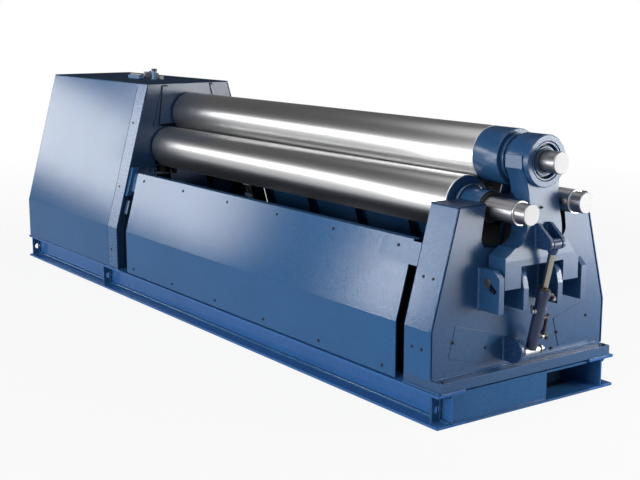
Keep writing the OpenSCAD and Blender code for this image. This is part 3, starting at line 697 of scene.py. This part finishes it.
# The keepers are near black: painted shade for the dark gap beside each pin.
finish_piece("hinge_pin_keepers", bm, shade_black, "machine_frame")
finish_piece("keeper_bolts", bolts, black_oxide, "machine_frame")


# ---- Bearing caps and lift gaiters of the side rolls ----
# Painted half shells that close the round top of each bearing block at the drop end. At the drive end a
# ribbed rubber gaiter, leaned with the slide, keeps scale off the lifting rod below each block.
slide_lean = {"front": math.radians(8.9), "rear": math.radians(-8.9)}
cap = [(2.2586, 0.0700), (2.2586, 0.0824), (2.2600, 0.0830), (2.3850, 0.0830), (2.3872, 0.0817),
       (2.3872, 0.0700)]
gaiter_x, sleeve_r, rib_r = -0.978, 0.026, 0.039
block_foot, window_foot, ribs = -0.0915, -0.1900, 8
gaiter_profile = [(0.0, window_foot), (sleeve_r, window_foot)]
for i in range(ribs):
    rib_z = window_foot + (block_foot - window_foot) * i / ribs
    gaiter_profile += [(sleeve_r, rib_z + 0.001), (rib_r, rib_z + 0.0045), (rib_r, rib_z + 0.0078),
                       (sleeve_r, rib_z + 0.0113)]
gaiter_profile += [(sleeve_r, block_foot), (0.0, block_foot)]
for which, (y, z) in shaft_yz.items():
    arcs = []
    bm = bmesh.new()
    for angle in range(12, 169, 4):
        turn = math.radians(angle) - slide_lean[which]
        arcs.append([bm.verts.new((x, y + r * math.cos(turn), z + r * math.sin(turn))) for x, r in cap])
    skin(bm, arcs)
    finish_piece(which + "_bearing_cap", bm, frame_blue, which + "_roll_carrier")

    at = Vector((gaiter_x, y, z))
    lean_turn = Matrix.Rotation(-slide_lean[which], 4, "X")
    gaiter = turned_piece(which + "_lift_gaiter", gaiter_profile, Matrix.Translation(at) @ lean_turn,
                          seal_rubber, "machine_frame", 32)
    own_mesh(gaiter)


# ---- Guide cover seams ----
# Near-black foam cord laid in the joints of the two guide covers on the drive housing's wall, dark as those
# joints are. The narrow cords at the covers' outer edges and the wide strips over the slots below them are
# painted shade.
wall_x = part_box("drive_frame")[1].x
cord_sunk, cord_proud = 0.004, 0.0006


def seam_cord(bm, points, width=0.008):
    """A flat cord through (y, z) points, let into the wall and a hair proud of its face."""
    for (y0, z0), (y1, z1) in zip(points, points[1:]):
        run = Vector((0, y1 - y0, z1 - z0)).normalized()
        half = run.cross(Vector((1, 0, 0))) * width / 2
        lap = run * 0.002
        start, end = Vector((0, y0, z0)) - lap, Vector((0, y1, z1)) + lap
        skin(bm, [[bm.verts.new(corner + Vector((x, 0, 0)))
                   for corner in (start - half, start + half, end + half, end - half)]
                  for x in (wall_x - cord_sunk, wall_x + cord_proud)])


def dark_foam(name):
    """Near-black foam, which stays black in any light: real in the cover joints, painted shade where it
    stands for a dark edge, slot or opening.
    """
    foam = bpy.data.materials.new(name)
    tree = new_tree(foam)
    place = add(tree, "TexCoord").outputs["Object"]
    # Open cells of 2 mm.
    cells = add(tree, "TexNoise", {"Vector": place, "Scale": 500.0, "Detail": 2.0})
    tone = add(tree, "ValToRGB", {"Fac": cells.outputs["Fac"]})
    tone.color_ramp.elements[0].color = linear("#030406")
    tone.color_ramp.elements[1].color = linear("#0c0f14")
    shader = add(tree, "BsdfPrincipled", {"Base Color": tone.outputs[0], "Roughness": 0.95, "IOR": 1.08})
    add(tree, "OutputMaterial", {"Surface": shader.outputs[0]})
    return foam


foam = dark_foam("black_foam_joints_and_painted_shade")
bm = bmesh.new()
seam_cord(bm, [(-0.2440, 1.158), (-0.2085, 1.4400), (-0.168, 1.4400)])
seam_cord(bm, [(0.2330, 1.158), (0.1720, 1.4440), (0.194, 1.4440)])
# Painted shade: a narrow dark cord along each cover's outer edge, and a wide one over the slot below.
for side in (-1, 1):
    seam_cord(bm, [(side * 0.3495, 1.340), (side * 0.3210, 1.4440)], 0.006)
    seam_cord(bm, [(side * 0.2300, 1.164), (side * 0.1150, 1.164)], 0.018)
finish_piece("guide_cover_seals_and_shade_strips", bm, foam, "machine_frame")


# ---- Rod eye and foot of the cylinder ----
# The rod's eye is welded on and painted. The barrel's foot turns on a bright pin
# held by a nut, and elbows carry the oil to the two ends of the barrel.
def round_bar(bm, centre, way, r, half, r_in=0.0):
    """A round bar about a point, along way, or a sleeve where it has an inner radius."""
    edge = 0.0015
    profile = [(r_in, -half), (r - edge, -half), (r, -half + edge), (r, half - edge), (r - edge, half),
               (r_in, half)]
    lathe(bm, profile + profile[:1] if r_in else profile, facing(centre, way), 48)


clevis_at = Vector((2.650, 0.0, 0.853))
foot_at = Vector((2.518, 0.0, 0.291))
rod_way = (clevis_at - foot_at).normalized()
pin_way = (0, 1, 0)
bm = bmesh.new()
round_bar(bm, clevis_at, pin_way, 0.0286, 0.0256, 0.0142)
place = facing(clevis_at - rod_way * 0.052, rod_way)
lathe(bm, [(0.0181, 0.0), (0.0205, 0.0005), (0.0245, 0.012), (0.0255, 0.030), (0.0181, 0.030)], place, 32)
# The eye is in the darker blue of painted shade, as it sits in shadow between the clevis cheeks.
finish_piece("rod_eye_paint", bm, shade_blue, "arm_cylinder_rod")

bm = bmesh.new()
round_bar(bm, foot_at, pin_way, 0.0206, 0.0505, 0.0146)
finish_piece("foot_eye_sleeve", bm, bright_steel, "arm_cylinder")
bm = bmesh.new()
place = facing((foot_at.x, 0.0625, foot_at.z), pin_way)
lathe(bm, [(0.0, 0.0), (0.021, 0.0), (0.021, 0.003), (0.0, 0.003)], place)
lathe(bm, [(0.017, 0.0028, 6), (0.017, 0.014, 6), (0.0162, 0.0158), (0.0095, 0.0158), (0.0095, 0.027),
           (0.0085, 0.028), (0.0, 0.028)], place)
finish_piece("foot_pin_nut", bm, zinc, "machine_frame")
bm = bmesh.new()
for y in (0.0563, -0.0570):
    round_bar(bm, (foot_at.x, y, foot_at.z), pin_way, 0.0185, 0.0050, 0.0143)
finish_piece("foot_spacers", bm, seal_rubber, "machine_frame")


def tube(bm, points, r):
    """A round tube through points, its corners rounded."""
    steps, bend, corner_reach = 14, 5, 2.2 * r
    path = [points[0]]
    for before, corner, after in zip(points, points[1:], points[2:]):
        cut = min(corner_reach, (corner - before).length / 2, (after - corner).length / 2)
        a = corner + (before - corner).normalized() * cut
        b = corner + (after - corner).normalized() * cut
        for i in range(bend + 1):
            t = i / bend
            path.append((1 - t) ** 2 * a + 2 * t * (1 - t) * corner + t * t * b)
    path.append(points[-1])
    rings = []
    for i, point in enumerate(path):
        way = (path[min(i + 1, len(path) - 1)] - path[max(i - 1, 0)]).normalized()
        side = (side - way * side.dot(way)).normalized() if rings else way.orthogonal().normalized()
        other = way.cross(side)
        rings.append([bm.verts.new(point + (side * math.cos(t) + other * math.sin(t)) * r)
                      for t in (2 * math.pi * k / steps for k in range(steps))])
    skin(bm, rings)


def nut(bm, point, way, half_across, length):
    """A hexagon nut that starts at a point, with chamfered corners."""
    chamfer, face = 0.0012, half_across * 0.94
    lathe(bm, [(0.0, 0.0), (face, 0.0), (half_across, chamfer, 6), (half_across, length - chamfer, 6),
               (face, length), (0.0, length)], facing(point, way))


rod_up = Vector((rod_way.z, 0, -rod_way.x))


def on_barrel(run, up, out):
    """A point at this run along the cylinder, then off its axis."""
    return foot_at + rod_way * run + rod_up * up + Vector((0, out, 0))


elbow_r = 0.0095
black, bright = bmesh.new(), bmesh.new()
# Head port: an elbow on each side, the near one capped.
round_bar(black, on_barrel(0.300, 0, 0.040), pin_way, 0.012, 0.012)
tube(black, [on_barrel(0.300, 0, 0.044), on_barrel(0.300, 0, 0.066), on_barrel(0.276, 0, 0.082)], 0.009)
nut(bright, on_barrel(0.280, 0, 0.079), on_barrel(0.25, 0, 0.097) - on_barrel(0.280, 0, 0.077), 0.0115, 0.015)
nut(bright, on_barrel(0.222, 0, -0.027), (0, -1, 0), 0.0115, 0.012)
nut(bright, on_barrel(0.222, 0, -0.043), (0, -1, 0), 0.0095, 0.010)
nut(bright, on_barrel(0.222, -0.030, -0.012), -rod_up, 0.0095, 0.014)
# Foot port: a valve on the barrel's rear side with two elbows.
round_bar(black, on_barrel(0.176, 0, 0.036), pin_way, 0.012, 0.010)
tube(black, [on_barrel(0.176, 0, 0.040), on_barrel(0.176, 0, 0.062), on_barrel(0.150, 0, 0.066),
             on_barrel(0.100, 0, 0.066)], elbow_r)
round_bar(black, on_barrel(0.178, 0, 0.068), (0, 0.6, 0.8), 0.007, 0.014)
nut(black, on_barrel(0.100, 0, 0.066), -rod_way, 0.013, 0.018)
round_bar(black, on_barrel(0.076, 0, 0.040), pin_way, 0.012, 0.014)
tube(black, [on_barrel(0.090, 0, 0.066), on_barrel(0.072, 0, 0.066), on_barrel(0.072, 0, 0.092),
             on_barrel(0.048, 0, 0.098)], elbow_r)
nut(bright, on_barrel(0.070, 0, 0.052), pin_way, 0.0125, 0.014)
nut(bright, on_barrel(0.226, 0, 0.029), pin_way, 0.009, 0.010)
finish_piece("cylinder_elbows", black, seal_rubber, "arm_cylinder", crease=40)
finish_piece("cylinder_nuts", bright, zinc, "arm_cylinder")
turned_piece("rod_gland", [
    (0.0183, 0.0), (0.0290, 0.0), (0.0300, 0.001), (0.0300, 0.0065), (0.0285, 0.008), (0.0215, 0.008),
    (0.0205, 0.0105), (0.0183, 0.0105), (0.0183, 0.0)],
    facing(on_barrel(0.3345, 0, 0), rod_way), seal_rubber, "arm_cylinder", 48)


# ---- Clamp bolts and the arm's grease nipple ----
# Hexagon bolts through the end plate and the foot plate, and a nipple on a dark seat
# that feeds grease to the arm.
bm = bmesh.new()
for y in (-0.106, 0.214):
    hex_bolt(bm, facing((2.4525, y, 0.252), (1, 0, 0)), 0.0075)
for y in (-0.560, 0.560):
    hex_bolt(bm, facing((2.500, y, foot_high.z), (0, 0, 1)), 0.008)
finish_piece("foot_bolts", bm, black_oxide, "machine_frame")

nipple_z = 1.019
place = facing((arm_face(nipple_z), -0.009, nipple_z), (1, 0, arm_slope))
turned_piece("nipple_seat", [(0.0, 0.0), (0.0105, 0.0), (0.0105, 0.0012), (0.0, 0.0012)],
             place, seal_rubber, "tilting_arm", 24)
turned_piece("grease_nipple", [
    (0.0045, 0.001, 6), (0.0045, 0.005, 6), (0.0028, 0.0055), (0.0024, 0.010), (0.0032, 0.012),
    (0.0022, 0.0145), (0.0, 0.0150)],
    place, black_oxide, "tilting_arm", 24)


# ---- Fittings on the roof ----
# The outlet of the oil tank: a painted filler pin with its cap, a distributor bar
# with plugs, a valve box and two blanked unions.
roof_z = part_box("drive_top_cover")[1].z
filler_x = -1.405
grey_blue = enamel("grey_blue_enamel", "#5f7fa6", 0.3, 1.4)
place = Matrix.Translation((filler_x, -0.015, roof_z))
filler = turned_piece("filler_pin", [
    (0.0, 0.0), (0.0225, 0.0), (0.0225, 0.007), (0.0175, 0.009), (0.0172, 0.034), (0.0185, 0.036),
    (0.0185, 0.040), (0.0172, 0.042), (0.0172, 0.0595), (0.0, 0.0595)],
    place, grey_blue, "machine_frame", 32)
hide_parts("drive_top_fittings")
turned_piece("filler_cap", [
    (0.0, 0.0590), (0.0195, 0.0590), (0.0205, 0.0605), (0.0205, 0.0755), (0.0185, 0.0778), (0.0, 0.0780)],
    place, barrel_blue, "machine_frame", 32)


def block(bm, low_corner, high_corner, ease=0.002, place=Matrix()):
    """A milled block with broken edges."""
    made = bmesh.ops.create_cube(bm, size=1.0)["verts"]
    for vert in made:
        vert.co = place @ Vector([low if part < 0 else high
                                  for part, low, high in zip(vert.co, low_corner, high_corner)])
    edges = list({edge for vert in made for edge in vert.link_edges})
    bmesh.ops.bevel(bm, geom=edges, offset=ease, segments=2, affect="EDGES")


bm = bmesh.new()
block(bm, (filler_x - 0.295, -0.085, roof_z), (filler_x - 0.110, -0.045, roof_z + 0.026))
finish_piece("distributor_bar", bm, grey_blue, "machine_frame")
bm = bmesh.new()
block(bm, (filler_x - 0.260, 0.040, roof_z), (filler_x - 0.145, 0.100, roof_z + 0.038), 0.003)
for x in (-0.230, -0.175):
    lathe(bm, [(0.010, 0.0375), (0.010, 0.047), (0.007, 0.050), (0.0, 0.050)],
          Matrix.Translation((filler_x + x, 0.070, roof_z)))
finish_piece("valve_box", bm, barrel_blue, "machine_frame")
bm = bmesh.new()
for x in (-0.265, -0.220, -0.175, -0.135):
    nut(bm, (filler_x + x, -0.065, roof_z + 0.0255), (0, 0, 1), 0.0095, 0.009)
for x, y, top in ((0.005, 0.042, 0.024), (-0.500, 0.170, 0.032), (-0.456, 0.170, 0.032)):
    lathe(bm, [(0.0, 0.0), (0.0165, 0.0, 6), (0.0165, top * 0.45, 6), (0.0125, top * 0.5),
               (0.0125, top * 0.62), (0.0150, top * 0.64, 6), (0.0150, top - 0.001, 6), (0.0140, top),
               (0.0, top)], Matrix.Translation((filler_x + x, y, roof_z)))
finish_piece("roof_unions", bm, zinc, "machine_frame")


# ---- Fillers beside the panels ----
# Folded strips that close the gap at both ends of each panel, near black as painted shade for the dark gap,
# with the latch, in the darker blue of painted shade, at the drive end that the panel's tab drops into.
def sheet_run(bm, outline, z0, z1, side):
    """A strip whose (x, inset) outline follows the housing's side from z0 to z1."""
    heights = [z0, fold_z, z1] if z0 < fold_z < z1 else [z0, z1]
    skin(bm, [[bm.verts.new((x, side * (side_reach(z) - inset), z)) for x, inset in outline]
              for z in heights])


face_in, lip_in, fold_in = 0.056, 0.059, 0.096
drive_filler = [(-0.9125, face_in), (-0.682, face_in), (-0.682, fold_in), (-0.685, fold_in),
                (-0.685, lip_in), (-0.9125, lip_in)]
drop_filler = [(2.112, face_in), (2.2555, face_in), (2.2555, lip_in), (2.115, lip_in),
               (2.115, fold_in), (2.112, fold_in)]
latch = [(-0.896, 0.026), (-0.853, 0.026), (-0.853, 0.0555), (-0.859, 0.0555),
         (-0.859, 0.032), (-0.890, 0.032), (-0.890, 0.0555), (-0.896, 0.0555)]
bm, latches = bmesh.new(), bmesh.new()
for side in (-1, 1):
    sheet_run(bm, drive_filler, 0.176, 0.722, side)
    sheet_run(bm, drop_filler, 0.186, 0.735, side)
    sheet_run(latches, latch, 0.565, 0.655, side)
finish_piece("panel_gap_fillers", bm, shade_black, "machine_frame")
finish_piece("panel_latches", latches, shade_blue, "machine_frame")


# ---- Oil pipes behind the rear panel ----
# Two zinc plated steel pipes that run up inside the rear panel and turn into the drive
# housing's wall, held by painted saddle clamps with a bolt each.
def rear_inside(x, z, inset):
    """A point this far inside the rear sheets."""
    return Vector((x, side_reach(z) - inset, z))


pipe_in, pipe_r = 0.078, 0.0125
pipes, saddles = bmesh.new(), bmesh.new()
for x in (-0.884, -0.840):
    tube(pipes, [rear_inside(x, 0.200, pipe_in), rear_inside(x, fold_z, pipe_in),
                 rear_inside(x, 0.735, pipe_in), rear_inside(wall_x + 0.001, 0.765, pipe_in)], pipe_r)
saddle_x, saddle_in, bolt_in = -0.862, 0.0955, 0.0990
inward = (0, -math.cos(lean), -math.sin(lean))
for z in (0.611, 0.701):
    block(saddles, (-0.046, -0.0035, -0.013), (0.046, 0.0035, 0.013), 0.0012,
          Matrix.Translation(rear_inside(saddle_x, z, saddle_in)) @ Matrix.Rotation(lean, 4, "X"))
    hex_bolt(saddles, facing(rear_inside(saddle_x, z, bolt_in), inward), 0.0075)
finish_piece("rear_oil_pipes", pipes, zinc, "machine_frame", crease=40)
# The clamps are pale blue, drawn paler still: painted light, as little light reaches them inside the panel.
brightened_pale_blue = enamel("pale_blue_enamel_painted_light", "#d5deef", 0.45, 1.45)
finish_piece("pipe_saddles", saddles, brightened_pale_blue, "machine_frame")


# ---- Openings in the drive housing's wall ----
# A milled frame under the front roll that moves with its carrier, and two openings closed with near-black
# foam, painted shade for the dark inside them: one below that roll, and one to the gearbox with a folded
# edge. The frame and the folded edge are the darker blue of painted shade.
slide = bmesh.new()
for y0, y1, z0, z1 in ((-0.320, -0.155, 0.882, 0.889), (-0.320, -0.313, 0.765, 0.882),
                       (-0.284, -0.276, 0.765, 0.882), (-0.162, -0.155, 0.765, 0.882)):
    block(slide, (wall_x + 0.003, y0, z0), (wall_x + 0.008, y1, z1), 0.0012)
finish_piece("front_carrier_slide", slide, shade_blue, "front_roll_carrier")

gearbox_yz = [(0.112, 0.792), (0.156, 0.680), (0.168, 0.560), (0.440, 0.560), (0.440, 0.792)]
foam_face = wall_x + 0.0022
edging, opening = bmesh.new(), bmesh.new()
block(opening, (wall_x + 0.0003, -0.318, 0.700), (foam_face, -0.157, 0.818), 0.0004)
for x, corners in ((wall_x + 0.0008, gearbox_yz), (foam_face, gearbox_yz[::-1])):
    opening.faces.new([opening.verts.new((x, y, z)) for y, z in corners])
edge_section = [(-0.02, -0.5), (1.0, -0.5), (1.0, 0.5), (-0.02, 0.5)]
for (y0, z0), (y1, z1) in zip(gearbox_yz[:2], gearbox_yz[1:3]):
    across = Vector((0, y1 - y0, z1 - z0)).cross(Vector((1, 0, 0))).normalized()
    corner_strip(edging, (wall_x, y0, z0), (wall_x, y1, z1), (1, 0, 0), across, 0.007, edge_section)
finish_piece("opening_edging", edging, shade_blue, "machine_frame")
finish_piece("wall_opening_painted_shade", opening, foam, "machine_frame")

# The stepped end of the gear casing, which stands just inside the gearbox's opening, in the dark blue of
# painted shade.
casing = [(0.0, 0.0023), (0.082, 0.0023), (0.082, 0.0040), (0.078, 0.0060), (0.060, 0.0060),
          (0.058, 0.0045), (0.030, 0.0045), (0.028, 0.0075), (0.0, 0.0080)]
turned_piece("gear_casing_end", [(radius, wall_x + out) for radius, out in casing],
             along(0.262, 0.700), shade_navy, "machine_frame", 64)
